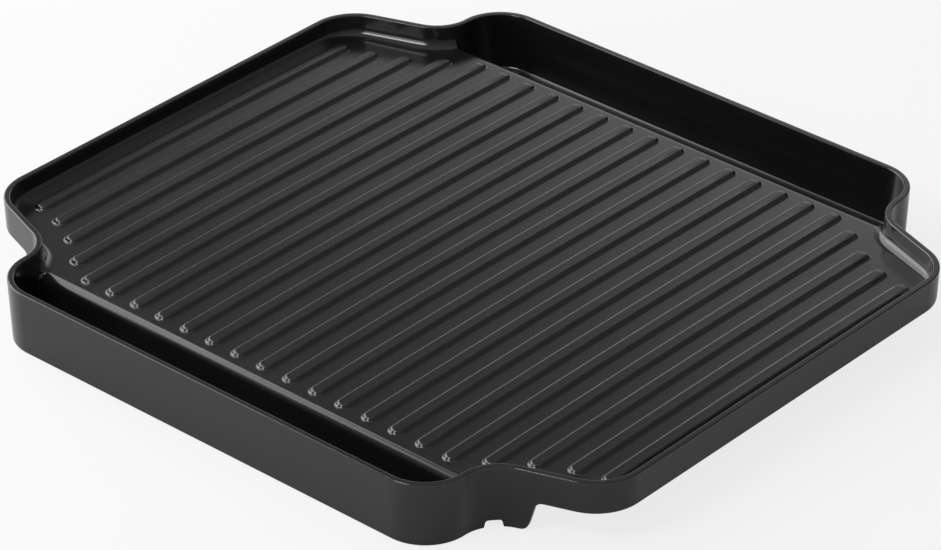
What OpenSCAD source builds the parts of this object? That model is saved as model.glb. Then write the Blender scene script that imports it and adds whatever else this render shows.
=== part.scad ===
// Ribbed camp griddle plate in cast, coated metal: a flat deck with parallel ribs, a deep grease
// trough along each end, and a raised rim that steps in round slanted corners.
// The casting is divided at its natural lines: ribs, deck, troughs, side walls and corner walls.
// X runs along the ribs, Y across them, Z up; the origin is under the middle, level with the
// trough bottoms. Rim sizes are taken at the outer edge of the rim.

/* [Plate] */
// Length along the ribs, over the two end walls
plate_l = 313; // [300:0.1:330]
// Width across the ribs, over the two side walls
plate_w = 335.8; // [322:0.1:360]
// Height from the trough bottoms to the rim
plate_h = 28.3; // [24:0.1:34]

/* [Deck] */
// Height of the rim above the cooking deck
rim_rise = 9.9; // [8:0.1:13]
// Thickness of the deck
deck_t = 4.5; // [3:0.1:6]

/* [Walls] */
// Thickness of every wall
wall_t = 2.8; // [2.2:0.1:3.8]
// Draft of the wall faces in degrees
wall_draft = 2.1; // [0.5:0.1:4]
// Radius along the two edges of the rim
rim_r = 0.6; // [0.3:0.1:1]
// Radius along the lower outer edges
sole_r = 0.8; // [0.3:0.1:1.3]
// Fillet between a wall and the deck
deck_fillet = 4; // [2:0.1:5]

/* [Corners] */
// Convex radius at both ends of an end wall
end_r = 21; // [16:0.5:24]
// Concave radius between a trough's end and the slanted wall
neck_r = 16.7; // [14:0.1:21]
// Slant of the corner wall from the Y direction in degrees
slant = 19.5; // [14:0.5:26]
// Convex radius between the slanted wall and the side wall
side_r = 22; // [16:0.5:26]

/* [Troughs] */
// Length of a trough over its two ends
trough_l = 240.2; // [226:0.1:246]
// Width from the end wall's rim to the edge of the deck
trough_w = 31.2; // [28:0.1:33]
// Thickness of the wall between trough and deck
lip_t = 4.1; // [3.9:0.1:5]
// Radius of the shoulder where the deck rolls into the trough
shoulder_r = 4; // [1.5:0.1:4.2]
// Thickness of the trough floor
floor_t = 1.8; // [1.5:0.1:4]
// Fillet along the trough floor
floor_fillet = 1.6; // [1:0.1:4]

/* [Corner tabs] */
// Length of a tab along the slanted wall, at its foot
tab_run = 3.6; // [1:0.1:5]
// Extra length of the tab at the deck's underside
tab_flare = 4; // [2:0.1:6]
// Radius at the tab's foot and at its root
tab_r = 3.8; // [1:0.1:4]
// Width of the notch in the tab at its mouth
notch_w = 8.3; // [5:0.1:10]
// Width of the notch at its top
notch_top = 6.7; // [4:0.1:8]
// Direction of the notch from the neck's centre in degrees
notch_at = 229; // [220:1:236]
// Height of the notch
notch_h = 3; // [2:0.1:5]
// Radius in the notch's upper corners
notch_r = 1; // [0.3:0.1:1.5]

/* [Ribs] */
// Number of ribs
rib_count = 23; // [15:2:23]
// Distance from a side wall's rim to the middle of the outermost rib
rib_margin = 13.9; // [12:0.1:18]
// Height of a rib above the deck
rib_h = 2.1; // [1.5:0.1:4]
// Width of a rib at its foot, inside the fillets
rib_base = 6; // [5:0.1:7.5]
// Width of a rib at its top, before rounding
rib_top = 4.1; // [3:0.1:5]
// Radius of a rib's upper edges
rib_round = 0.9; // [0.4:0.1:1.2]
// Fillet at a rib's foot
rib_fillet = 1.4; // [0.4:0.1:1.8]
// Deck left bare between a full rib's end and the trough
rib_end_gap = 2; // [1:0.1:12]
// How far the outer ribs stop short of the full ones, from the outermost inwards
outer_rib_inset = [27.8, 24.5, 17.5, 7.2]; // [0:0.1:40]

/* [Hidden] */
$fn = 96;
arc_steps = 5;
half_l = plate_l / 2;
half_w = plate_w / 2;
half_t = trough_l / 2;
deck_z = plate_h - rim_rise;
under_z = deck_z - deck_t;
deck_x = half_l - trough_w;
lean = tan(wall_draft);
// Lengths that two pieces share are kept to a thousandth
function snap(x) = round(x * 1000) / 1000;
// Overshoot of cutting shapes past the faces that they cut
past = 1;
// Half the side of a block that is larger than the plate
block = plate_l + plate_w;

// Plan of the rim in the +X +Y quarter: end arc, neck arc, slanted run, side arc
end_c = [half_l - end_r, half_t - end_r];
neck_c = [half_l - end_r, half_t + neck_r];
slant_dir = [-sin(slant), cos(slant)];
slant_in = [-cos(slant), -sin(slant)];
slant_start = neck_c + neck_r * slant_in;
slant_l = snap((half_w - side_r - slant_start[1] - side_r * slant_in[1]) / slant_dir[1]);
side_c = slant_start + slant_l * slant_dir + side_r * slant_in;

// Distances inwards from the rim's outer edge
function outer_d(z) = (plate_h - z) * lean;
function inner_d(z) = wall_t + outer_d(z);
function foot_d(z, fillet) = inner_d(z) + fillet * tan(45 - wall_draft / 2);
deck_foot = snap(foot_d(deck_z, deck_fillet));
floor_foot = snap(foot_d(floor_t, floor_fillet));

// Outline with its corners rounded; each point is [x, y, radius]
function unit(v) = v / norm(v);
function xy(p) = [p[0], p[1]];
function turn(a) = a > 180 ? a - 360 : a < -180 ? a + 360 : a;
function fillet_points(p, a, b, r) =
    let (half = acos(a * b) / 2, c = p + unit(a + b) * r / sin(half), t = r / tan(half))
    let (s = p + a * t - c, e = p + b * t - c, from = atan2(s[1], s[0]))
    let (sweep = turn(atan2(e[1], e[0]) - from))
    [for (i = [0 : arc_steps]) c + r * [cos(from + sweep * i / arc_steps), sin(from + sweep * i / arc_steps)]];
function rounded(pts) =
    let (n = len(pts))
    [for (i = [0 : n - 1])
        let (p = xy(pts[i]), a = unit(xy(pts[(i + n - 1) % n]) - p), b = unit(xy(pts[(i + 1) % n]) - p))
        for (q = pts[i][2] == 0 ? [p] : fillet_points(p, a, b, pts[i][2])) [snap(q[0]), snap(q[1])]];

// Wall sections in [distance inwards, height]
rim_top = [[0, plate_h, rim_r], [wall_t, plate_h, rim_r]];
shallow_section = rounded(concat(rim_top, [
    [inner_d(deck_z), deck_z, deck_fillet], [deck_foot, deck_z, 0],
    [deck_foot, under_z, 0], [outer_d(under_z), under_z, sole_r]]));
// The outer face carries on from the last point of the shallow section
tab_section = rounded(concat(rim_top, [
    [inner_d(deck_z), deck_z, deck_fillet], [deck_foot, deck_z, 0],
    [deck_foot, under_z, 0], [inner_d(under_z), under_z, 0],
    [inner_d(0), 0, sole_r], [outer_d(0), 0, sole_r],
    concat(shallow_section[len(shallow_section) - 1], 0)]));
trough_section = rounded(concat(rim_top, [
    [inner_d(floor_t), floor_t, floor_fillet], [floor_foot, floor_t, 0],
    [floor_foot, 0, 0], [outer_d(0), 0, sole_r]]));
lip_section = rounded([
    [deck_x, deck_z, 0], [deck_x + lip_t, deck_z, shoulder_r],
    [deck_x + lip_t + (deck_z - floor_t) * lean, floor_t, floor_fillet],
    [half_l - end_r, floor_t, 0], [half_l - end_r, 0, 0], [deck_x, 0, 0]]);

// Ribs keep an even distance over the width of the plate
rib_pitch = snap((plate_w - 2 * rib_margin) / (rib_count - 1));
// One flank of a rib's section, from its upper edge down to the toe of its fillet
rib_lean = atan((rib_base - rib_top) / 2 / rib_h);
rib_foot = rib_base / 2 + rib_fillet * tan(45 - rib_lean / 2);
rib_outline = rounded([
    [0, 0, 0], [0, rib_h, 0], [rib_top / 2, rib_h, rib_round],
    [rib_base / 2, 0, rib_fillet], [rib_foot + past, 0, 0]]);
rib_flank = [for (p = rib_outline) if (p[0] > 0 && p[0] < rib_foot + past / 2) p];

coat = "#2f3032";
coat_rib = "#3a3b3d";
coat_wall = "#27282a";

// A section carried along a straight wall from p, with the plate's inside on its left
module run(section, p, heading, length) {
    translate([p[0], p[1], 0])
        rotate([90, 0, heading + 90])
            linear_extrude(length) polygon(section);
}

// A section carried round a corner whose centre is inside the plate
module bend_out(section, c, r, start, sweep) {
    translate([c[0], c[1], 0])
        rotate_extrude(angle = sweep, start = start) polygon([for (p = section) [r - p[0], p[1]]]);
}

// A section carried round a corner whose centre is outside the plate
module bend_in(section, c, r, start, sweep) {
    translate([c[0], c[1], 0])
        rotate_extrude(angle = sweep, start = start) polygon([for (p = section) [r + p[0], p[1]]]);
}

// Everything on the deck's side of the line between deck and trough
module deck_side() {
    translate([deck_x - 2 * block, -block, -block]) cube(2 * block);
}

// Everything on the trough's side of that line
module trough_side() {
    translate([deck_x, -block, -block]) cube(2 * block);
}

module deck() {
    edge_y = neck_c[1] - sqrt((neck_r + deck_foot) ^ 2 - (neck_c[0] - deck_x) ^ 2);
    quarter = [
        [deck_x, edge_y],
        slant_start + deck_foot * slant_in,
        slant_start + slant_l * slant_dir + deck_foot * slant_in,
        [side_c[0], half_w - deck_foot]];
    back = [for (i = [len(quarter) - 1 : -1 : 0]) quarter[i]];
    color(coat)
        translate([0, 0, under_z])
            linear_extrude(deck_t)
                difference() {
                    union() {
                        polygon(concat(
                            quarter,
                            [for (p = back) [-p[0], p[1]]],
                            [for (p = quarter) -p],
                            [for (p = back) [p[0], -p[1]]]));
                        four_times(side_c) circle(side_r - deck_foot);
                    }
                    four_times(neck_c) circle(neck_r + deck_foot);
                }
}

module four_times(p) {
    for (sx = [-1, 1], sy = [-1, 1])
        translate([sx * p[0], sy * p[1]]) children();
}

// Trough at the +X end
module trough() {
    // The floor reaches into the walls' own feet
    inset = (inner_d(0) + floor_foot) / 2;
    color(coat_wall)
        intersection() {
            union() {
                run(trough_section, [half_l, -end_c[1]], 90, 2 * end_c[1]);
                for (flip = [0, 1])
                    mirror([0, flip, 0]) {
                        bend_out(trough_section, end_c, end_r, 0, 90);
                        bend_in(trough_section, neck_c, neck_r, 180 + slant, 90 - slant);
                    }
                linear_extrude(floor_t) {
                    translate([end_c[0], -end_c[1]]) square([end_r - inset, 2 * end_c[1]]);
                    for (sy = [-1, 1])
                        translate([end_c[0], sy * end_c[1]]) circle(end_r - inset);
                }
                difference() {
                    run([for (p = lip_section) [-p[0], p[1]]], [0, -neck_c[1]], 90, 2 * neck_c[1]);
                    for (sy = [-1, 1])
                        translate([neck_c[0], sy * neck_c[1], -past])
                            cylinder(h = plate_h, r = neck_r + inner_d(deck_z) - wall_t / 2);
                }
            }
            trough_side();
        }
}

module front_trough() mirror([1, 0, 0]) trough();
module rear_trough() trough();

// Straight wall on the +Y side
module side_wall() {
    color(coat_wall) run(shallow_section, [side_c[0], half_w], 180, 2 * side_c[0]);
}

module left_side_wall() side_wall();
module right_side_wall() mirror([0, 1, 0]) side_wall();

// Corner wall in the +X +Y quarter, with the tab that carries on the trough's end wall
module corner_wall() {
    tab_l = tab_run + tab_flare;
    tab_end = tab_l + tab_r;
    // Free space beyond the tab, under the slanted wall
    relief = rounded([
        [-past, 0, 0], [tab_run, 0, tab_r], [tab_l, under_z, tab_r], [tab_end + past, under_z, 0],
        [tab_end + past, -past, 0], [-past, -past, 0]]);
    notch = rounded([
        [-notch_w / 2, -past, 0], [notch_w / 2, -past, 0], [notch_w / 2, 0, 0],
        [notch_top / 2, notch_h, notch_r], [-notch_top / 2, notch_h, notch_r], [-notch_w / 2, 0, 0]]);
    color(coat_wall)
        intersection() {
            // Drawn round the neck's centre, with the slanted run along its own Y
            translate([neck_c[0], neck_c[1], 0])
                rotate(slant)
                    difference() {
                        union() {
                            bend_in(tab_section, [0, 0], neck_r, 180, 90 - slant);
                            difference() {
                                run(tab_section, [-neck_r, 0], 90, tab_end);
                                translate([-neck_r, 0, 0])
                                    rotate([90, 0, 90])
                                        linear_extrude(3 * deck_foot, center = true) polygon(relief);
                            }
                            run(shallow_section, [-neck_r, tab_end], 90, slant_l - tab_end);
                            bend_out(shallow_section, [-neck_r - side_r, slant_l], side_r, 0, 90 - slant);
                        }
                        rotate([90, 0, 90 + notch_at - slant])
                            linear_extrude(neck_r + deck_foot) polygon(notch);
                    }
            deck_side();
        }
}

module rear_left_corner() corner_wall();
module rear_right_corner() mirror([0, 1, 0]) corner_wall();
module front_left_corner() mirror([1, 0, 0]) corner_wall();
module front_right_corner() mirror([1, 0, 0]) mirror([0, 1, 0]) corner_wall();

function rib_name(i) = str("rib_", i < 10 ? "0" : "", i);
function rib_y(i) = ((rib_count + 1) / 2 - i) * rib_pitch;
function rib_inset(i) =
    let (k = min(i - 1, rib_count - i)) k < len(outer_rib_inset) ? outer_rib_inset[k] : 0;

module rib(i) {
    reach = snap(deck_x - rib_end_gap - rib_inset(i) - rib_foot);
    far_flank = [for (k = [len(rib_flank) - 1 : -1 : 0]) [-rib_flank[k][0], rib_flank[k][1]]];
    color(coat_rib)
        translate([0, rib_y(i), deck_z]) {
            run(concat(rib_flank, far_flank), [reach, 0], 180, 2 * reach);
            for (flip = [0, 1])
                mirror([flip, 0, 0])
                    translate([reach, 0, 0])
                        rotate_extrude(angle = 180, start = -90)
                            polygon(concat([[0, 0], [0, rib_h]], rib_flank));
        }
}

deck();
front_trough();
rear_trough();
left_side_wall();
right_side_wall();
front_left_corner();
front_right_corner();
rear_left_corner();
rear_right_corner();
for (i = [1 : rib_count])
    rib(i);
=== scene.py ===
import math

import bmesh
import bpy
import numpy as np
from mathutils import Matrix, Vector


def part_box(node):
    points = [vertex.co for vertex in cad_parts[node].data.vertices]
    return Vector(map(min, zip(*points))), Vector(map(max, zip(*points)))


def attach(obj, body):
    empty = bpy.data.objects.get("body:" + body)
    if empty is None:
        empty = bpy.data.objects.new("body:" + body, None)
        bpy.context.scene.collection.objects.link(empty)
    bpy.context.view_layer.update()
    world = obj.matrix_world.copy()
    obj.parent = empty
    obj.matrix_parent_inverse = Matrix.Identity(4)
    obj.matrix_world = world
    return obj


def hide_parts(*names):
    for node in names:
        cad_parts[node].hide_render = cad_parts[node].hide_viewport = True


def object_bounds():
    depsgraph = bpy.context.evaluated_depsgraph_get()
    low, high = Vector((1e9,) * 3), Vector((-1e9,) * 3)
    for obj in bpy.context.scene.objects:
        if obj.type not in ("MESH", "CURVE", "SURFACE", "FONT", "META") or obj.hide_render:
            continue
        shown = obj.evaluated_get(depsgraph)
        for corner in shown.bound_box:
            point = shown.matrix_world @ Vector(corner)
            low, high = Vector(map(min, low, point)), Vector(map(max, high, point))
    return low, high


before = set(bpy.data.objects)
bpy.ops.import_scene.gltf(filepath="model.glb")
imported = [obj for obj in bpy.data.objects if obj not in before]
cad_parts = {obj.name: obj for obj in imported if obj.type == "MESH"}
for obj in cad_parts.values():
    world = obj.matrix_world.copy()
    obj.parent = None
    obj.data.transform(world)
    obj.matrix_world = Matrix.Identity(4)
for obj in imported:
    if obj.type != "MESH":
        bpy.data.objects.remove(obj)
cadLow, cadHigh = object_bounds()
print("frame loaded:", len(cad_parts), "nodes")

mm = 0.001
scene = bpy.context.scene
ribNames = sorted(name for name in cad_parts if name.startswith("rib_"))

# sizes taken from the solids, in mm
deckLow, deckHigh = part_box("deck")
plate = {
    "halfLength": cadHigh.x / mm,
    "halfWidth": cadHigh.y / mm,
    "height": cadHigh.z / mm,
    "deckTop": deckHigh.z / mm,
    "deckUnder": deckLow.z / mm,
    "deckEnd": deckHigh.x / mm,
    "crown": 1.2,  # rise of the cooking face halfway between the troughs
}

# stepped outline of the rim, one quarter
outline = {
    "endRadius": 21.0,
    "neckRadius": 16.7,
    "sideRadius": 22.0,
    "slant": math.radians(19.5),
    "troughHalf": 120.1,
    "straightSteps": 3,
    "endSteps": 18,
    "neckSteps": 11,
    "neckGap": math.radians(1.2),  # an even step keeps this far from the other stations
    "angleDigits": 6,  # to which two stations share an angle
    "bendSteps": 15,
    "sideSteps": 14,  # along half a side wall
}

wall = {
    "thickness": 2.8,
    "draft": math.radians(2.1),
    "rimRadius": 0.6,
    "rimSteps": 6,
    "rimSheenEnds": 0.35,  # share of the painted edge highlight and lower roughness where the rounded edge begins and ends; 1 on the round
    "soleRadius": 0.8,
    "soleSteps": 4,
    "sideFillet": 1.8,
    "slantFillet": 4.0,
    "neckFillet": 4.5,
    "filletSteps": 9,
    "riseHeight": 1.45,  # gentle rise of the deck towards the side walls
    "riseReach": 8.0,
    "riseSteps": 6,
    "seamAbove": 5.6,  # joint of rim and pan, over the deck
}

trough = {
    "lip": 4.1,
    "shoulder": 4.0,
    "shoulderSteps": 9,
    "lipSteps": 5,
    "floor": 1.8,
    "fillet": 1.6,
    "cornerFillet": 1.2,  # where the neck's wall goes down beside the lip
    "blendSteps": 4,  # rows over which the neck's fillet shrinks to it
}

tab = {
    "run": 3.6,
    "flare": 4.0,
    "radius": 3.8,
    "edgeSteps": 5,
    "notchAt": math.radians(229),
    "notchMouth": 8.3,
    "notchTop": 6.7,
    "notchHeight": 3.0,
    "notchRadius": 1.0,
    "notchSteps": 4,
}

# distances in m, angles in radians
meshing = {
    "weld": 2e-6,
    "sliver": 1e-7,
    "sharp": math.radians(35),
    "sameAngle": 1e-6,
    "treeWeld": 5e-6,
    "treeSharp": 0.6,
    "flatWeight": 60,
    "markedOver": 0.9,  # a face counts as marked when all its points are
}

lean = math.tan(wall["draft"])
cosDraft = math.cos(wall["draft"])
sinDraft = math.sin(wall["draft"])
height = plate["height"]
deckTop = plate["deckTop"]
deckUnder = plate["deckUnder"]
seamZ = deckTop + wall["seamAbove"]
upward = np.array([0.0, 0.0, 1.0])
bendX = plate["halfLength"] - outline["endRadius"]
endCentre = np.array([bendX, outline["troughHalf"] - outline["endRadius"]])
neckCentre = np.array([bendX, outline["troughHalf"] + outline["neckRadius"]])


def outerIn(z):
    return (height - z) * lean


def innerIn(z):
    return wall["thickness"] + outerIn(z)


notchArc = outline["neckRadius"] + wall["thickness"] / 2 + outerIn(0)


# the cooking face is crowned along the ribs, so that fat runs off to both troughs
def crownAt(x):
    return plate["crown"] * max(0.0, 1 - (x / plate["deckEnd"]) ** 2)


def heading(angle):
    return np.array([math.cos(angle), math.sin(angle)])


def slerp(u, v, t):
    angle = math.acos(float(np.clip(u @ v, -1, 1)))
    if angle < meshing["sameAngle"]:
        return u
    return (math.sin((1 - t) * angle) * u + math.sin(t * angle) * v) / math.sin(angle)


# arc that rounds the corner p between the lines to a and b
def roundCorner(a, p, b, radius, steps):
    u = (a - p) / np.linalg.norm(a - p)
    v = (b - p) / np.linalg.norm(b - p)
    half = math.acos(float(np.clip(u @ v, -1, 1))) / 2
    centre = p + (u + v) / np.linalg.norm(u + v) * radius / math.sin(half)
    start = (p + u * radius / math.tan(half) - centre) / radius
    end = (p + v * radius / math.tan(half) - centre) / radius
    arc = [centre + slerp(start, end, k / steps) * radius for k in range(steps + 1)]
    return [(float(x), float(y)) for x, y in arc]


# height of a lower edge at one distance along it
def edgeHeight(edge, t):
    return float(np.interp(t, [x for x, z in edge], [z for x, z in edge]))


# lower edge of the tab where it ends, as distance along the slanted wall and height
def tabEdge():
    foot = np.array([tab["run"], 0.0])
    root = np.array([tab["run"] + tab["flare"], deckUnder])
    ahead = np.array([1.0, 0.0])
    lower = roundCorner(foot - ahead, foot, root, tab["radius"], tab["edgeSteps"])
    return lower + roundCorner(foot, root, root + ahead, tab["radius"], tab["edgeSteps"])


# lower edge of the tab at its notch, as distance from the notch's middle and height
def notchOutline():
    mouth, top, rise = tab["notchMouth"] / 2, tab["notchTop"] / 2, tab["notchHeight"]
    corners = (np.array([mouth, 0.0]), np.array([top, rise]), np.array([0.0, rise]))
    half = [(mouth, 0.0)] + roundCorner(*corners, tab["notchRadius"], tab["notchSteps"])
    return [(-t, z) for t, z in half] + [(0.0, rise)] + half[::-1]


# profile from the deck over the shoulder into the trough: point and normal, in x and z
def troughProfile():
    edge = plate["deckEnd"] + trough["lip"]
    rs, rf, floor, draft = trough["shoulder"], trough["fillet"], trough["floor"], wall["draft"]
    shoulder = np.array([edge - rs * (1 - sinDraft) / cosDraft, deckTop - rs])
    bend = np.array([edge + (rf - (floor + rf - deckTop) * sinDraft) / cosDraft, floor + rf])
    rows = []
    for k in range(trough["shoulderSteps"] + 1):
        n = heading(math.pi / 2 + (draft - math.pi / 2) * k / trough["shoulderSteps"])
        rows.append((shoulder + rs * n, n))
    n = np.array([cosDraft, sinDraft])
    top, foot = rows[-1][0], bend - rf * n
    for k in range(1, trough["lipSteps"]):
        rows.append((top + (foot - top) * k / trough["lipSteps"], n))
    for k in range(wall["filletSteps"] + 1):
        n = heading(draft + (math.pi / 2 - draft) * k / wall["filletSteps"])
        rows.append((bend - rf * n, n))
    return rows


# one station: a point of the outline, and the fillet that stands inside the wall there
def makeStation(point, normal, level, radius, rest=upward, low=0.0, part="wall", centre=None, rise=0.0):
    point, normal = np.asarray(point, float), np.asarray(normal, float)
    lift, reach = wall["riseHeight"] * rise ** 2, wall["riseReach"] * rise
    if centre is None:
        if level == deckTop:
            level += crownAt(point[0] - normal[0] * (innerIn(level) + radius))
        if rise > 0:
            tilt = math.atan(2 * lift / reach)
            rest = np.array([*(-normal * math.sin(tilt)), math.cos(tilt)])
        z = level + lift + radius * rest[2]
        centre = np.array([*(point - normal * (innerIn(z) + radius / cosDraft)), z])
    return {
        "point": point, "normal": normal, "centre": centre, "radius": radius,
        "wallNormal": np.array([*(-normal * cosDraft), sinDraft]), "restNormal": rest,
        "low": low, "part": part, "lift": lift, "reach": reach,
    }


def rollName(k):
    return "roll%02d" % k


# round the neck: contact of the rolling fillet, the back of the tab, its notch, and even steps;
# each row is angle, fillet radius, normal of what the fillet rests on, its centre, and part
def neckRows():
    rn, neckFillet = outline["neckRadius"], wall["neckFillet"]
    rows = []
    for k, (p, n) in enumerate(troughProfile()):
        share = min(1.0, k / trough["blendSteps"])
        r = neckFillet + (trough["cornerFillet"] - neckFillet) * share
        x, z = p + r * n
        reach = rn + innerIn(z) + r / cosDraft
        a = 2 * math.pi - math.acos((x - neckCentre[0]) / reach)
        centre = np.array([x, neckCentre[1] + reach * math.sin(a), z])
        rows.append((a, r, np.array([n[0], 0.0, n[1]]), centre, rollName(k)))
    rollLow, rollHigh = rows[0][0], rows[-1][0]
    for a in np.linspace(rollHigh, 1.5 * math.pi, outline["straightSteps"] + 1)[1:-1]:
        rows.append((a, trough["fillet"], upward, None, "floor"))
    middle = rn + innerIn(deckUnder / 2)
    back = 2 * math.pi - math.acos((plate["deckEnd"] - neckCentre[0]) / middle)
    rows.append((back, neckFillet, upward, None, "back"))
    for t, z in notchOutline():
        rows.append((tab["notchAt"] + t / notchArc, neckFillet, upward, None, "notch"))
    for a in np.linspace(math.pi + outline["slant"], rollLow, outline["neckSteps"] + 1)[1:-1]:
        if min(abs(a - row[0]) for row in rows) > outline["neckGap"]:
            rows.append((a, neckFillet, upward, None, "step"))

    def fromTrough(row):
        a, part = row[0], row[-1]
        roll = int(part[len("roll"):]) if part.startswith("roll") else 0
        return -round(a, outline["angleDigits"]), -roll

    return sorted(rows, key=fromTrough)


# one quarter of the rim, from the middle of the end wall to the middle of the side wall
def quarterStations():
    slant, rd, straight = outline["slant"], outline["sideRadius"], outline["straightSteps"]
    floor, rf = trough["floor"], trough["fillet"]
    sideFillet, slantFillet, neckFillet = wall["sideFillet"], wall["slantFillet"], wall["neckFillet"]
    out = heading(slant)
    along = np.array([-out[1], out[0]])
    start = neckCentre - outline["neckRadius"] * out
    slantLength = (plate["halfWidth"] - rd - start[1] + rd * out[1]) / along[1]
    sideCentre = start + slantLength * along - rd * out
    rows = []
    for y in np.linspace(0, endCentre[1], straight + 1):
        rows.append(makeStation((plate["halfLength"], y), (1, 0), floor, rf, part="end"))
    for a in np.linspace(0, math.pi / 2, outline["endSteps"] + 1)[1:]:
        n = heading(a)
        rows.append(makeStation(endCentre + outline["endRadius"] * n, n, floor, rf, part="end"))
    notch = notchOutline()
    for a, r, rest, centre, part in neckRows():
        n = heading(a)
        low = edgeHeight(notch, (a - tab["notchAt"]) * notchArc)
        level = floor if part == "floor" else deckTop
        point = neckCentre + outline["neckRadius"] * n
        rows.append(makeStation(point, -n, level, r, rest, low, part, centre))
    edge = tabEdge()
    tabReach = edge[-1][0]
    ys = [0.0] + [t for t, z in edge]
    ys += list(np.linspace(tabReach, slantLength, straight + 1)[1:])
    for y in ys:
        part = "tabEnd" if y == tabReach else "tab" if y < tabReach else "wall"
        r = neckFillet + (slantFillet - neckFillet) * y / slantLength
        low = edgeHeight(edge, y)
        rows.append(makeStation(start + along * y, out, deckTop, r, low=low, part=part))
    for a in np.linspace(slant, math.pi / 2, outline["bendSteps"] + 1)[1:]:
        n = heading(a)
        share = (a - slant) / (math.pi / 2 - slant)
        r = slantFillet + (sideFillet - slantFillet) * share
        rows.append(makeStation(sideCentre + rd * n, n, deckTop, r, low=deckUnder, rise=share))
    for x in np.linspace(sideCentre[0], 0, outline["sideSteps"] + 1)[1:]:
        point = (x, plate["halfWidth"])
        rows.append(makeStation(point, (0, 1), deckTop, sideFillet, low=deckUnder, rise=1.0))
    return rows


# whole rim in order, with each quarter mirrored into place
def rimLoop():
    quarter = quarterStations()
    loop = []
    for sx, sy, forward in ((1, 1, True), (-1, 1, False), (-1, -1, True), (1, -1, False)):
        flip = np.array([sx, sy, 1.0])
        for step, row in enumerate(quarter if forward else quarter[::-1]):
            made = dict(row)
            made["point"] = row["point"] * flip[:2]
            made["normal"] = row["normal"] * flip[:2]
            for key in ("centre", "wallNormal", "restNormal"):
                made[key] = row[key] * flip
            made["side"] = (sx, sy)
            if step > 0 or not loop:  # quarters share their first and last station
                loop.append(made)
    loop.pop()
    return loop


stations = rimLoop()
print("rim path:", len(stations), "stations")


def atInset(row, inset, z):
    p = row["point"] - row["normal"] * inset
    return (p[0], p[1], z)


def newObject(name, verts, faces):
    mesh = bpy.data.meshes.new(name)
    mesh.from_pydata([tuple(c * mm for c in v) for v in verts], [], faces)
    obj = bpy.data.objects.new(name, mesh)
    scene.collection.objects.link(obj)
    return obj


def openEdges(bm):
    return sum(1 for edge in bm.edges if len(edge.link_faces) != 2)


def finishMesh(obj):
    bm = bmesh.new()
    bm.from_mesh(obj.data)
    bmesh.ops.remove_doubles(bm, verts=bm.verts, dist=meshing["weld"])
    bmesh.ops.dissolve_degenerate(bm, dist=meshing["sliver"], edges=bm.edges)
    bmesh.ops.recalc_face_normals(bm, faces=bm.faces)
    for edge in bm.edges:
        edge.smooth = len(edge.link_faces) == 2 and edge.calc_face_angle() < meshing["sharp"]
    for face in bm.faces:
        face.smooth = True
    print(" ", obj.name, len(bm.faces), "faces,", openEdges(bm), "open edges")
    bm.to_mesh(obj.data)
    bm.free()


# a closed shell has a positive volume when its faces point outwards
def outwardFaces(obj):
    bm = bmesh.new()
    bm.from_mesh(obj.data)
    if bm.calc_volume(signed=True) < 0:
        obj.data.flip_normals()
    print(" ", obj.name, len(bm.faces), "faces,", openEdges(bm), "open edges")
    bm.free()


# the mesh that the modifiers give is kept, and they go
def evaluatedMesh(obj):
    graph = bpy.context.evaluated_depsgraph_get()
    mesh = bpy.data.meshes.new_from_object(obj.evaluated_get(graph), depsgraph=graph)
    obj.modifiers.clear()
    old = obj.data
    mesh.name = obj.name
    obj.data = mesh
    bpy.data.meshes.remove(old)


def weightNormals(obj):
    weights = obj.modifiers.new("flatFaces", "WEIGHTED_NORMAL")
    weights.keep_sharp = True
    weights.weight = meshing["flatWeight"]


layout = {"perRow": 10, "across": 190, "down": 280}


def socket(group, name, kind, inOut, value=None):
    made = group.interface.new_socket(name=name, in_out=inOut, socket_type="NodeSocket" + kind)
    if value is not None:
        made.default_value = value


# another socket is linked to the input, a plain value is set on it
def feed(tree, made, inputs):
    for key, value in inputs.items():
        if isinstance(value, bpy.types.NodeSocket):
            tree.links.new(value, made.inputs[key])
        else:
            made.inputs[key].default_value = value


# nodes stand in rows, in the order in which they are made
def node(tree, kind, inputs=None, **settings):
    down, across = divmod(len(tree.nodes), layout["perRow"])
    made = tree.nodes.new(kind)
    made.location = (across * layout["across"], -down * layout["down"])
    for key, value in settings.items():
        setattr(made, key, value)
    feed(tree, made, inputs or {})
    return made


def calc(tree, kind, *values):
    return node(tree, "ShaderNodeMath", dict(enumerate(values)), operation=kind).outputs[0]


# one sprayed coat; fine, peel, drift and breakup are scales per metre
coat = {
    "dark": (0.0085, 0.0086, 0.0088, 1),
    "light": (0.0135, 0.0136, 0.0138, 1),
    # lighter colour painted on rounded edges as a highlight
    "edgeSheen": (0.02, 0.02, 0.02, 1),
    "ior": 1.75,
    "roughRange": (0.15, 0.21),
    "edgeRough": 0.14,
    "bump": 0.05,
    "bumpDepth": 0.0001,
    "fine": 2600.0,
    "fineDetail": 2.0,
    "peel": 420.0,
    "peelDetail": 1.0,
    "peelShare": 0.55,
    "drift": 22.0,
    "driftDetail": 3.0,
    "driftRange": (0.3, 0.7),
    "speckRange": (0.58, 0.74),
    "breakup": 160.0,
    "breakupDetail": 4.0,
    "breakupRange": (0.35, 0.65),
}
coatGloss = {"panCoat": 0.5, "rimCoat": 0.5, "outerCoat": 0.275, "ribCoat": 0.5}  # outer faces are duller


def noise(group, vector, scale, detail):
    inputs = {"Vector": vector, "Scale": scale, "Detail": detail}
    return node(group, "ShaderNodeTexNoise", inputs).outputs["Fac"]


def mapRange(tree, value, fromRange, toRange=(0.0, 1.0)):
    inputs = {"Value": value, "From Min": fromRange[0], "From Max": fromRange[1]}
    inputs.update({"To Min": toRange[0], "To Max": toRange[1]})
    return node(tree, "ShaderNodeMapRange", inputs).outputs[0]


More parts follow.
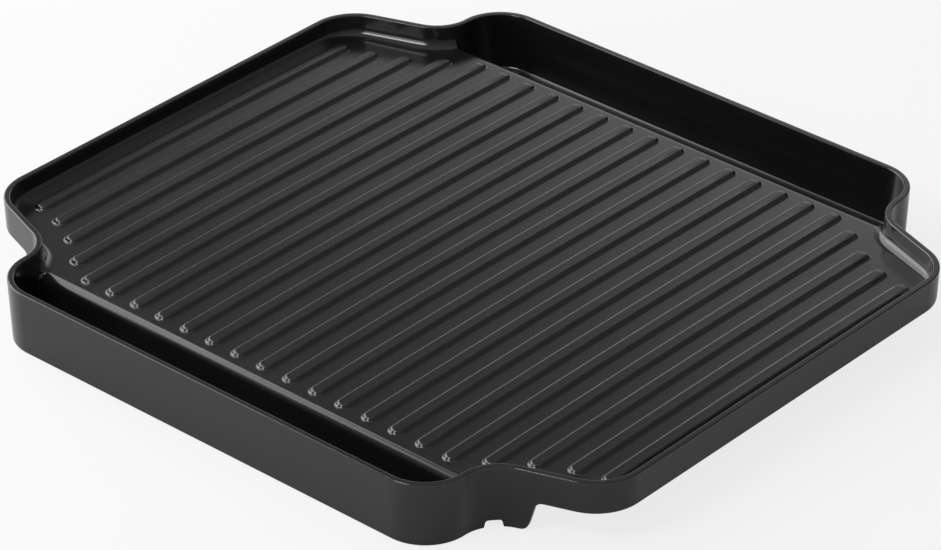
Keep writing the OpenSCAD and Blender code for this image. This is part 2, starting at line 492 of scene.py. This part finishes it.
# the colour sockets of a mix stand behind those for numbers and vectors
def mixColour(tree, share, first, second):
    made = node(tree, "ShaderNodeMix", {"Factor": share}, data_type="RGBA")
    slots = [k for k, slot in enumerate(made.inputs) if slot.type == "RGBA"]
    feed(tree, made, dict(zip(slots, (first, second))))
    return next(slot for slot in made.outputs if slot.type == "RGBA")


# grain of the sprayed coat: fine bumps, slow drift of gloss
def makeGrainGroup():
    group = bpy.data.node_groups.new("coatGrain", "ShaderNodeTree")
    socket(group, "Vector", "Vector", "INPUT")
    socket(group, "Fine Scale", "Float", "INPUT", coat["fine"])
    socket(group, "Peel Scale", "Float", "INPUT", coat["peel"])
    socket(group, "Drift Scale", "Float", "INPUT", coat["drift"])
    for name in ("Height", "Drift", "Speck"):
        socket(group, name, "Float", "OUTPUT")
    given = node(group, "NodeGroupInput").outputs
    fine = noise(group, given["Vector"], given["Fine Scale"], coat["fineDetail"])
    peel = noise(group, given["Vector"], given["Peel Scale"], coat["peelDetail"])
    node(group, "NodeGroupOutput", {
        "Height": calc(group, "MULTIPLY_ADD", peel, coat["peelShare"], fine),
        "Drift": noise(group, given["Vector"], given["Drift Scale"], coat["driftDetail"]),
        "Speck": mapRange(group, fine, coat["speckRange"]),
    })
    return group


# painted highlight along rounded edges, whose mask also lowers the roughness there, broken up so that the
# line isn't even
def makeEdgeGroup():
    group = bpy.data.node_groups.new("rubbedEdge", "ShaderNodeTree")
    socket(group, "Vector", "Vector", "INPUT")
    socket(group, "Edge", "Float", "INPUT", 0.0)
    socket(group, "Breakup Scale", "Float", "INPUT", coat["breakup"])
    socket(group, "Mask", "Float", "OUTPUT")
    given = node(group, "NodeGroupInput").outputs
    patches = noise(group, given["Vector"], given["Breakup Scale"], coat["breakupDetail"])
    spread = mapRange(group, patches, coat["breakupRange"])
    node(group, "NodeGroupOutput", {"Mask": calc(group, "MULTIPLY", given["Edge"], spread)})
    return group


grainGroup = makeGrainGroup()
edgeGroup = makeEdgeGroup()


def makeCoat(name):
    material = bpy.data.materials.new(name)
    material.use_nodes = True
    tree = material.node_tree
    place = node(tree, "ShaderNodeTexCoord").outputs["Object"]
    edge = node(tree, "ShaderNodeAttribute", attribute_name="edge").outputs["Fac"]
    grain = node(tree, "ShaderNodeGroup", node_tree=grainGroup)
    feed(tree, grain, {
        "Vector": place,
        "Fine Scale": coat["fine"],
        "Peel Scale": coat["peel"],
        "Drift Scale": coat["drift"],
    })
    # painted highlight along the rounded edges; the same mask lowers the roughness there
    paintedEdge = node(tree, "ShaderNodeGroup", {"Vector": place, "Edge": edge}, node_tree=edgeGroup)
    edgeSheen = paintedEdge.outputs["Mask"]
    tone = mixColour(tree, grain.outputs["Speck"], coat["dark"], coat["light"])
    sprayed = mapRange(tree, grain.outputs["Drift"], coat["driftRange"], coat["roughRange"])
    polish = node(tree, "ShaderNodeMix", {0: edgeSheen, 2: sprayed, 3: coat["edgeRough"]}, data_type="FLOAT")
    bump = node(tree, "ShaderNodeBump", {
        "Strength": coat["bump"],
        "Distance": coat["bumpDepth"],
        "Height": grain.outputs["Height"],
    })
    feed(tree, tree.nodes["Principled BSDF"], {
        "IOR": coat["ior"],
        "Specular IOR Level": coatGloss[name],
        # base colour lightened on the rounded edges: a painted highlight
        "Base Color": mixColour(tree, edgeSheen, tone, coat["edgeSheen"]),
        "Roughness": polish.outputs[0],
        "Normal": bump.outputs["Normal"],
    })
    return material


coats = {name: makeCoat(name) for name in coatGloss}
print("coats made:", ", ".join(coats))

# pan: deck, troughs, walls below the rim and tabs, as one shell of a ring of points per station
count = len(stations)
contactRow = wall["filletSteps"] + wall["riseSteps"] + 1  # innermost row, where the deck begins
outerRow = contactRow + 1
footRow = outerRow + wall["soleSteps"] + 1
ringSize = footRow + 1


# from the joint down the inner wall to the deck, then down the outer face and round the sole
def panRing(row):
    steps, rises, soles = wall["filletSteps"], wall["riseSteps"], wall["soleSteps"]
    ring = [atInset(row, innerIn(seamZ), seamZ)]
    for k in range(steps + 1):
        turned = slerp(-row["wallNormal"], -row["restNormal"], k / steps)
        ring.append(tuple(row["centre"] + row["radius"] * turned))
    foot = ring[-1]
    for k in range(1, rises + 1):
        left = 1 - k / rises
        x, y = foot[:2] - row["normal"] * row["reach"] * (1 - left)
        ring.append((x, y, foot[2] + crownAt(x) - crownAt(foot[0]) - row["lift"] * (1 - left ** 2)))
    ring.append(atInset(row, outerIn(seamZ), seamZ))
    r = wall["soleRadius"]
    soleZ = row["low"] + r
    soleIn = outerIn(soleZ) + r / cosDraft
    for k in range(soles + 1):
        a = math.pi + wall["draft"] + (math.pi / 2 - wall["draft"]) * k / soles
        ring.append(atInset(row, soleIn + r * math.cos(a), soleZ + r * math.sin(a)))
    return ring


def at(i, k):
    return (i % count) * ringSize + k


# points of one row from station to station, the way round that the stations run
def runOf(first, last, k):
    return [at(first + j, k) for j in range((last - first) % count + 1)]


def pick(part, sx, sy):
    return next(i for i, row in enumerate(stations) if row["part"] == part and row["side"] == (sx, sy))


# shoulders, trough floors and deck span from side to side
def upperFaces():
    faces = []
    lastRoll = len(troughProfile()) - 1
    for sx in (1, -1):
        for k in range(lastRoll):
            a, b, c, d = [pick(rollName(j), sx, sy) for sy in (1, -1) for j in (k, k + 1)]
            faces.append(tuple(at(i, contactRow) for i in (a, b, d, c)))
        first, last = [pick(rollName(lastRoll), sx, sy) for sy in (-sx, sx)]
        faces.append(tuple(runOf(first, last, contactRow)))
    left = runOf(pick("roll00", 1, 1), pick("roll00", -1, 1), contactRow)
    right = runOf(pick("roll00", -1, -1), pick("roll00", 1, -1), contactRow)[::-1]
    for k in range(len(left) - 1):
        faces.append((left[k], left[k + 1], right[k + 1], right[k]))
    return faces


# corner between the back of a tab and the back of the trough's lip
def backCorner(sx, sy, z):
    reach = outline["neckRadius"] + innerIn(z)
    y = neckCentre[1] - math.sqrt(reach ** 2 - (neckCentre[0] - plate["deckEnd"]) ** 2)
    return (sx * plate["deckEnd"], sy * y, z)


# underside: backs of the tabs, lip backs, trough bottoms, deck; their points join verts
def lowerFaces(verts):
    faces = []
    backLow, backHigh, tabFrom, tabTo = {}, {}, {}, {}
    for sx in (1, -1):
        for sy in (1, -1):
            start, end = pick("back", sx, sy), pick("tabEnd", sx, sy)
            way = 1 if (end - start) % count < count / 2 else -1
            order = [start + way * j for j in range(((end - start) * way) % count + 1)]
            lows, highs = [], []
            for i in order:
                row = stations[i % count]
                low = atInset(row, innerIn(row["low"]), row["low"])
                high = atInset(row, innerIn(deckUnder), deckUnder)
                if i == start:
                    low, high = backCorner(sx, sy, 0.0), backCorner(sx, sy, deckUnder)
                lows.append(len(verts))
                highs.append(len(verts) + 1)
                verts += [low, high]
            for j in range(len(order) - 1):
                faces.append((at(order[j], footRow), at(order[j + 1], footRow), lows[j + 1], lows[j]))
                faces.append((lows[j], lows[j + 1], highs[j + 1], highs[j]))
            backLow[sx, sy], backHigh[sx, sy] = lows, highs
            tabFrom[sx, sy], tabTo[sx, sy] = start, end
        faces.append((backLow[sx, 1][0], backLow[sx, -1][0], backHigh[sx, -1][0], backHigh[sx, 1][0]))
        bottom = runOf(tabFrom[sx, -sx], tabFrom[sx, sx], footRow)
        faces.append(tuple(bottom + [backLow[sx, sx][0], backLow[sx, -sx][0]]))
    under = []
    for sx, sy in ((1, 1), (-1, -1)):
        under += backHigh[sx, sy]
        under += runOf(tabTo[sx, sy], tabTo[-sx, sy], footRow)
        under += backHigh[-sx, sy][::-1]
    faces.append(tuple(under))
    return faces


def buildPan():
    verts = [point for row in stations for point in panRing(row)]
    faces = []
    for i in range(count):
        for k in range(ringSize - 1):
            if k != contactRow:
                faces.append((at(i, k), at(i + 1, k), at(i + 1, k + 1), at(i, k + 1)))
        faces.append((at(i, outerRow), at(i + 1, outerRow), at(i + 1, 0), at(i, 0)))
    faces += upperFaces()
    faces += lowerFaces(verts)
    obj = newObject("castPan", verts, faces)
    outside = np.ones(len(verts), np.float32)  # marks the points of the outer faces
    outside[:count * ringSize] = np.tile(np.arange(ringSize) >= outerRow, count)
    obj.data.attributes.new("outside", "FLOAT", "POINT").data.foreach_set("value", outside)
    finishMesh(obj)
    weightNormals(obj)
    evaluatedMesh(obj)
    obj.data.materials.clear()
    obj.data.materials.append(coats["panCoat"])
    obj.data.materials.append(coats["outerCoat"])
    marks = obj.data.attributes["outside"].data
    for face in obj.data.polygons:
        face.material_index = int(all(marks[v].value > meshing["markedOver"] for v in face.vertices))
    obj.data.attributes.remove(obj.data.attributes["outside"])
    return obj


castPan = buildPan()
print("pan built")


# points that a node tree reads, with what is marked on them
def helperMesh(name, points, vectors=None, floats=None):
    obj = newObject(name, points, [])
    for key, values in (vectors or {}).items():
        made = obj.data.attributes.new(key, "FLOAT_VECTOR", "POINT")
        made.data.foreach_set("vector", np.asarray(values, np.float32).ravel())
    for key, values in (floats or {}).items():
        made = obj.data.attributes.new(key, "FLOAT", "POINT")
        made.data.foreach_set("value", np.asarray(values, np.float32))
    obj.hide_render = True
    return obj


def dropHelper(obj):
    mesh = obj.data
    bpy.data.objects.remove(obj)
    bpy.data.meshes.remove(mesh)


def newTree(name, inputs):
    tree = bpy.data.node_groups.new(name, "GeometryNodeTree")
    for key, kind in inputs.items():
        socket(tree, key, kind, "INPUT")
    socket(tree, "Geometry", "Geometry", "OUTPUT")
    return tree


# the inputs are set before the tree is first worked out
def grow(name, tree, values):
    obj = newObject(name, [], [])
    modifier = obj.modifiers.new(tree.name, "NODES")
    modifier.node_group = tree
    for item in tree.interface.items_tree:
        if item.item_type == "SOCKET" and item.in_out == "INPUT" and item.name in values:
            modifier[item.identifier] = values[item.name]
    weightNormals(obj)
    evaluatedMesh(obj)
    outwardFaces(obj)
    return obj


# geometry of an object and the number of its points
def readObject(tree, source):
    shape = node(tree, "GeometryNodeObjectInfo", {"Object": source}).outputs["Geometry"]
    size = node(tree, "GeometryNodeAttributeDomainSize", {"Geometry": shape}, component="MESH")
    return shape, size.outputs["Point Count"]


def attribute(tree, name, kind="FLOAT"):
    made = node(tree, "GeometryNodeInputNamedAttribute", {"Name": name}, data_type=kind)
    return made.outputs["Attribute"]


def sample(tree, shape, value, index, kind="FLOAT"):
    inputs = {"Geometry": shape, "Value": value, "Index": index}
    return node(tree, "GeometryNodeSampleIndex", inputs, data_type=kind, domain="POINT").outputs["Value"]


def store(tree, shape, name, value):
    inputs = {"Geometry": shape, "Name": name, "Value": value}
    made = node(tree, "GeometryNodeStoreNamedAttribute", inputs, data_type="FLOAT", domain="POINT")
    return made.outputs["Geometry"]


def combine(tree, **axes):
    return node(tree, "ShaderNodeCombineXYZ", axes).outputs[0]


def move(tree, shape, key, value):
    return node(tree, "GeometryNodeSetPosition", {"Geometry": shape, key: value}).outputs[0]


def above(tree, value, limit):
    made = node(tree, "FunctionNodeCompare", data_type="FLOAT", operation="GREATER_THAN")
    feed(tree, made, {0: value, 1: limit})
    return made.outputs[0]


# which group of that size an index lies in
def groupOf(tree, index, size):
    return calc(tree, "FLOOR", calc(tree, "DIVIDE", calc(tree, "ADD", index, 0.5), size))


# both trees end the same way: welded, smooth faces, sharp edges, real geometry, coat
def finishTree(tree, given, shape):
    weld = node(tree, "GeometryNodeMergeByDistance", {"Geometry": shape, "Distance": meshing["treeWeld"]})
    smooth = node(tree, "GeometryNodeSetShadeSmooth", {0: weld.outputs[0]}, domain="FACE")
    angle = node(tree, "GeometryNodeInputMeshEdgeAngle").outputs["Unsigned Angle"]
    sharp = node(tree, "GeometryNodeSetShadeSmooth", {
        0: smooth.outputs[0],
        "Selection": above(tree, angle, given["Sharp Angle"]),
        "Shade Smooth": False,
    }, domain="EDGE")
    real = node(tree, "GeometryNodeRealizeInstances", {0: sharp.outputs[0]})
    paint = node(tree, "GeometryNodeSetMaterial", {"Geometry": real.outputs[0], "Material": given["Coat"]})
    return paint.outputs[0]


# how much painted edge highlight and lower roughness each point of a rounded edge gets
def edgeMarks(steps, atEnds):
    return [atEnds] + [1.0] * (steps - 1) + [atEnds]


# rim: one section carried along the stepped path, as inset and height
def rimSection():
    steps = wall["rimSteps"]
    outerFoot, innerFoot = np.array([outerIn(seamZ), seamZ]), np.array([innerIn(seamZ), seamZ])
    outerEdge, innerEdge = np.array([0.0, height]), np.array([wall["thickness"], height])
    points = [tuple(outerFoot)]
    points += roundCorner(outerFoot, outerEdge, innerEdge, wall["rimRadius"], steps)
    points += roundCorner(outerEdge, innerEdge, innerFoot, wall["rimRadius"], steps)
    points.append(tuple(innerFoot))
    edge = [0.0] + edgeMarks(steps, wall["rimSheenEnds"]) * 2 + [0.0]
    outside = [1.0, 1.0] + [0.0] * (len(points) - 2)  # the face below the outer edge
    return points, {"edge": edge, "outside": outside}


def makeSweepTree():
    tree = newTree("rimSweep", {
        "Geometry": "Geometry", "Path": "Object", "Section": "Object",
        "Sharp Angle": "Float", "Coat": "Material", "Outer Coat": "Material",
    })
    given = node(tree, "NodeGroupInput").outputs
    path, stationTotal = readObject(tree, given["Path"])
    section, pointTotal = readObject(tree, given["Section"])
    columns, rows = calc(tree, "ADD", stationTotal, 1), calc(tree, "ADD", pointTotal, 1)
    grid = node(tree, "GeometryNodeMeshGrid", {"Vertices X": columns, "Vertices Y": rows})
    # column of the grid is the station, row is the point of the section; both close on themselves
    index = node(tree, "GeometryNodeInputIndex").outputs[0]
    station = calc(tree, "MODULO", groupOf(tree, index, rows), stationTotal)
    point = calc(tree, "MODULO", calc(tree, "MODULO", index, rows), pointTotal)
    where = node(tree, "GeometryNodeInputPosition").outputs[0]
    base = sample(tree, path, where, station, "FLOAT_VECTOR")
    outward = attribute(tree, "outward", "FLOAT_VECTOR")
    away = sample(tree, path, outward, station, "FLOAT_VECTOR")
    inSection = sample(tree, section, where, point, "FLOAT_VECTOR")
    parts = node(tree, "ShaderNodeSeparateXYZ", {0: inSection}).outputs
    inset = node(tree, "ShaderNodeVectorMath", {0: away, "Scale": parts["X"]}, operation="SCALE")
    plan = node(tree, "ShaderNodeVectorMath", {0: base, 1: inset.outputs[0]}, operation="SUBTRACT")
    rise = combine(tree, Z=parts["Z"])
    spot = node(tree, "ShaderNodeVectorMath", {0: plan.outputs[0], 1: rise}, operation="ADD")
    shape = grid.outputs["Mesh"]
    for name in ("edge", "outside"):
        shape = store(tree, shape, name, sample(tree, section, attribute(tree, name), point))
    coated = finishTree(tree, given, move(tree, shape, "Position", spot.outputs[0]))
    paint = node(tree, "GeometryNodeSetMaterial", {
        "Geometry": coated,
        "Selection": above(tree, attribute(tree, "outside"), meshing["markedOver"]),
        "Material": given["Outer Coat"],
    })
    node(tree, "NodeGroupOutput", {"Geometry": paint.outputs[0]})
    return tree


def buildRim():
    points, marks = rimSection()
    outward = [(*row["normal"], 0.0) for row in stations]
    path = helperMesh("rimPath", [(*row["point"], 0.0) for row in stations], vectors={"outward": outward})
    section = helperMesh("rimSection", [(d, 0.0, z) for d, z in points], floats=marks)
    obj = grow("rimWall", makeSweepTree(), {
        "Path": path,
        "Section": section,
        "Sharp Angle": meshing["treeSharp"],
        "Coat": coats["rimCoat"],
        "Outer Coat": coats["outerCoat"],
    })
    dropHelper(path)
    dropHelper(section)
    return obj


rimWall = buildRim()
print("rim built")

# ribs: the boxes of the solids give their number, pitch and reach
ribBoxes = [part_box(name) for name in ribNames]
ribs = {
    "height": 1.5,
    "base": 6.8,
    "top": 5.0,
    "round": 1.1,
    "fillet": 1.4,
    "roundSteps": 6,
    "paintedEdge": 0.4,  # share of the painted edge highlight and lower roughness where the rounding begins and ends, as the rim's
    "sunk": 0.3,  # foot of the mesh under the deck's face
    "noseSteps": 14,
    "bodySteps": 22,
    "count": len(ribBoxes),
}
insetNames = ("First Inset", "Second Inset", "Third Inset", "Fourth Inset")  # the shorter ribs, from the edge


# half of the section, from the crest to the toe and back under the deck's face
def ribSection():
    steps = ribs["roundSteps"]
    crest, edge = np.array([0.0, ribs["height"]]), np.array([ribs["top"] / 2, ribs["height"]])
    foot = np.array([ribs["base"] / 2, 0.0])
    deck = foot + np.array([1.0, 0.0])
    points = [tuple(crest)]
    points += roundCorner(crest, edge, foot, ribs["round"], steps)
    points += roundCorner(edge, foot, deck, ribs["fillet"], steps)
    toe = points[-1][0]
    points += [(toe, -ribs["sunk"]), (0.0, -ribs["sunk"])]
    marks = [0.0] + edgeMarks(steps, ribs["paintedEdge"])
    return points, marks + [0.0] * (len(points) - len(marks)), toe


def makeRibTree():
    tree = newTree("ribRow", {
        "Geometry": "Geometry", "Section": "Object", "Count": "Int", "Pitch": "Float",
        "Deck Height": "Float", "Deck End": "Float", "Crown": "Float", "Reach": "Float",
        **{name: "Float" for name in insetNames},
        "Nose Steps": "Int", "Body Steps": "Int", "Sharp Angle": "Float", "Coat": "Material",
    })
    given = node(tree, "NodeGroupInput").outputs
    nose, body, pitch = given["Nose Steps"], given["Body Steps"], given["Pitch"]

    # one rib of no length: two half turns of the section and the steps of the body, marked by where they go
    section, pointTotal = readObject(tree, given["Section"])
    perHalf = calc(tree, "ADD", nose, body)
    columns = calc(tree, "MULTIPLY_ADD", perHalf, 2, 1)
    grid = node(tree, "GeometryNodeMeshGrid", {"Vertices X": columns, "Vertices Y": pointTotal})
    index = node(tree, "GeometryNodeInputIndex").outputs[0]
    column = groupOf(tree, index, pointTotal)
    point = calc(tree, "MODULO", index, pointTotal)
    half = calc(tree, "MODULO", groupOf(tree, column, perHalf), 2)
    step = calc(tree, "MODULO", column, perHalf)
    share = calc(tree, "MINIMUM", calc(tree, "DIVIDE", step, nose), 1)
    past = calc(tree, "MAXIMUM", calc(tree, "SUBTRACT", step, nose), 0)
    run = calc(tree, "MULTIPLY_ADD", calc(tree, "DIVIDE", past, body), -2, 1)
    turned = calc(tree, "ADD", calc(tree, "ADD", half, share), -0.5)
    angle = calc(tree, "MULTIPLY", turned, math.pi)
    end = calc(tree, "MULTIPLY", calc(tree, "MULTIPLY_ADD", half, -2, 1), run)
    where = node(tree, "GeometryNodeInputPosition").outputs[0]
    inSection = sample(tree, section, where, point, "FLOAT_VECTOR")
    parts = node(tree, "ShaderNodeSeparateXYZ", {0: inSection}).outputs
    across = calc(tree, "MULTIPLY", calc(tree, "COSINE", angle), parts["X"])
    aside = calc(tree, "MULTIPLY", calc(tree, "SINE", angle), parts["X"])
    shape = store(tree, grid.outputs["Mesh"], "end", end)
    shape = store(tree, shape, "edge", sample(tree, section, attribute(tree, "edge"), point))
    rib = move(tree, shape, "Position", combine(tree, X=across, Y=aside, Z=parts["Z"]))

    # row of points across the deck, each with its own reach
    lastIndex = calc(tree, "SUBTRACT", given["Count"], 1)
    startY = calc(tree, "MULTIPLY", calc(tree, "MULTIPLY", lastIndex, 0.5), pitch)
    row = node(tree, "GeometryNodeMeshLine", {
        "Count": given["Count"],
        "Start Location": combine(tree, Y=startY, Z=given["Deck Height"]),
        "Offset": combine(tree, Y=calc(tree, "MULTIPLY", pitch, -1)),
    }, mode="OFFSET")
    fromEdge = calc(tree, "MINIMUM", index, calc(tree, "SUBTRACT", lastIndex, index))
    choose = node(tree, "GeometryNodeIndexSwitch", data_type="FLOAT")
    while len(choose.index_switch_items) <= len(insetNames):
        choose.index_switch_items.new()
    feed(tree, choose, {"Index": calc(tree, "MINIMUM", fromEdge, len(insetNames))})
    feed(tree, choose, {k + 1: given[name] for k, name in enumerate(insetNames)})
    reach = calc(tree, "SUBTRACT", given["Reach"], choose.outputs[0])
    marked = store(tree, row.outputs["Mesh"], "reach", reach)
    spread = node(tree, "GeometryNodeInstanceOnPoints", {"Points": marked, "Instance": rib})
    real = node(tree, "GeometryNodeRealizeInstances", {0: spread.outputs[0]})

    # both ends pulled out to their reach, then lifted with the crown of the deck
    pull = calc(tree, "MULTIPLY", attribute(tree, "end"), attribute(tree, "reach"))
    stretched = move(tree, real.outputs[0], "Offset", combine(tree, X=pull))
    spot = node(tree, "ShaderNodeSeparateXYZ", {0: where}).outputs
    part = calc(tree, "POWER", calc(tree, "DIVIDE", spot["X"], given["Deck End"]), 2)
    rise = calc(tree, "MAXIMUM", calc(tree, "SUBTRACT", 1, part), 0)
    lift = combine(tree, Z=calc(tree, "MULTIPLY", rise, given["Crown"]))
    crowned = move(tree, stretched, "Offset", lift)
    node(tree, "NodeGroupOutput", {"Geometry": finishTree(tree, given, crowned)})
    return tree


def buildRibs():
    points, edge, toe = ribSection()
    section = helperMesh("ribSection", [(d, 0.0, z) for d, z in points], floats={"edge": edge})
    middles = [(low.y + high.y) / 2 for low, high in ribBoxes]
    reaches = [high.x for low, high in ribBoxes]
    full = max(reaches)
    obj = grow("deckRibs", makeRibTree(), {
        "Section": section,
        "Count": ribs["count"],
        "Pitch": (middles[0] - middles[-1]) / (ribs["count"] - 1),
        "Deck Height": deckTop * mm,
        "Deck End": plate["deckEnd"] * mm,
        "Crown": plate["crown"] * mm,
        "Reach": full - toe * mm,
        **{name: full - reaches[k] for k, name in enumerate(insetNames)},
        "Nose Steps": ribs["noseSteps"],
        "Body Steps": ribs["bodySteps"],
        "Sharp Angle": meshing["treeSharp"],
        "Coat": coats["ribCoat"],
    })
    dropHelper(section)
    for name in ("end", "reach"):
        if name in obj.data.attributes:
            obj.data.attributes.remove(obj.data.attributes[name])
    return obj


deckRibs = buildRibs()
print("ribs built:", ribs["count"])

for piece, nodes in (
    (castPan, ["deck", "front_trough", "rear_trough"]),
    (rimWall, ["left_side_wall", "right_side_wall", "front_left_corner", "front_right_corner",
               "rear_left_corner", "rear_right_corner"]),
    (deckRibs, ribNames),
):
    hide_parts(*nodes)
    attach(piece, "root")

# floor, light and camera, in m and W
studio = {
    "floorSize": 8.0,
    "floorColour": (0.9, 0.9, 0.9, 1),
    "floorRough": 0.9,
    "floorGloss": 0.1,
    "floorSeen": 0.8,  # share of plain white in the floor as the camera sees it
    "floorMirrored": 0.24,  # the same in what the coat mirrors
    "worldColour": (1, 1, 1, 1),
    "world": 0.175,
}


def makeFloor():
    s = studio["floorSize"] / 2
    mesh = bpy.data.meshes.new("floor")
    mesh.from_pydata([(-s, -s, 0), (s, -s, 0), (s, s, 0), (-s, s, 0)], [], [(0, 1, 2, 3)])
    floor = bpy.data.objects.new("floor", mesh)
    scene.collection.objects.link(floor)
    material = bpy.data.materials.new("paleFloor")
    material.use_nodes = True
    tree = material.node_tree
    shader = tree.nodes["Principled BSDF"]
    feed(tree, shader, {
        "Base Color": studio["floorColour"],
        "Roughness": studio["floorRough"],
        "Specular IOR Level": studio["floorGloss"],
    })
    path = node(tree, "ShaderNodeLightPath").outputs
    mirrored = calc(tree, "MAXIMUM", path["Is Glossy Ray"], path["Is Transmission Ray"])
    weaker = calc(tree, "MULTIPLY", mirrored, studio["floorMirrored"])
    share = calc(tree, "MULTIPLY_ADD", path["Is Camera Ray"], studio["floorSeen"], weaker)
    white = node(tree, "ShaderNodeEmission", {"Strength": 1.0})
    mixed = node(tree, "ShaderNodeMixShader", {0: share, 1: shader.outputs[0], 2: white.outputs[0]})
    feed(tree, tree.nodes["Material Output"], {"Surface": mixed.outputs[0]})
    mesh.materials.append(material)


makeFloor()

world = bpy.data.worlds.new("studioWorld")
world.use_nodes = True
sky = world.node_tree.nodes["Background"]
feed(world.node_tree, sky, {"Color": studio["worldColour"], "Strength": studio["world"]})
scene.world = world

lamps = {
    "sideBox": {"at": (-0.25, 1.0, 0.795), "to": (-0.25, 0, 0.795), "size": (1.5, 1.51), "watts": 15.2},
    "sideCore": {"at": (-0.25, 0.9, 0.42), "to": (-0.1, 0, 0.02), "size": (0.5, 0.4), "watts": 1.0},
    "leftBox": {"at": (-0.97, 0.22, 1.08), "to": (0, 0.22, 0), "size": (0.58, 0.36), "watts": 5.3},
    "lowLeft": {"at": (-1.25, 0.15, 0.66), "to": (0, 0.15, 0), "size": (0.56, 0.22), "watts": 1.22},
    "highCard": {"at": (0.81, 1.05, 0.4), "to": (-0.2, 1.05, 0.4), "size": (1.8, 0.8), "watts": 0.45},
    "backCard": {"at": (0.8, 1.05, 0.31), "to": (-0.2, 1.05, 0.31), "size": (1.8, 0.62), "watts": 0.4},
    "lowCard": {"at": (0.79, 1.05, 0.235), "to": (-0.2, 1.05, 0.235), "size": (1.8, 0.43), "watts": 1.75},
    "frontFill": {"at": (-0.9, -1.3, 1.3), "to": (0, 0, 0), "size": (2.0, 1.5), "watts": 0.6},
    "overhead": {"at": (0.0, 0.0, 2.2), "to": (0, 0, 0), "size": (2.4, 2.4), "watts": 3.0},
}


def facing(direction):
    return direction.to_track_quat("-Z", "Y").to_euler()


def makeLamp(name):
    values = lamps[name]
    light = bpy.data.lights.new(name, "AREA")
    light.shape = "RECTANGLE"
    light.size, light.size_y = values["size"]
    light.energy = values["watts"]
    lamp = bpy.data.objects.new(name, light)
    lamp.location = values["at"]
    lamp.rotation_euler = facing(Vector(values["to"]) - Vector(values["at"]))
    scene.collection.objects.link(lamp)


for name in lamps:
    makeLamp(name)

shot = {
    "azimuth": math.radians(-48.633),
    "elevation": math.radians(31.422),
    "distance": 1.88106,
    "target": (-0.014051, -0.014916, 0.0184),
    "lens": 176.84,
    "sensor": 36.0,
}


def makeCamera():
    a, e = shot["azimuth"], shot["elevation"]
    back = Vector((math.sin(a) * math.cos(e), -math.cos(a) * math.cos(e), math.sin(e)))
    data = bpy.data.cameras.new("shot")
    data.sensor_fit = "HORIZONTAL"
    data.sensor_width = shot["sensor"]
    data.lens = shot["lens"]
    camera = bpy.data.objects.new("shot", data)
    camera.location = Vector(shot["target"]) + back * shot["distance"]
    camera.rotation_euler = facing(-back)
    scene.collection.objects.link(camera)
    scene.camera = camera


makeCamera()
scene.view_settings.view_transform = "Standard"
print("studio set")
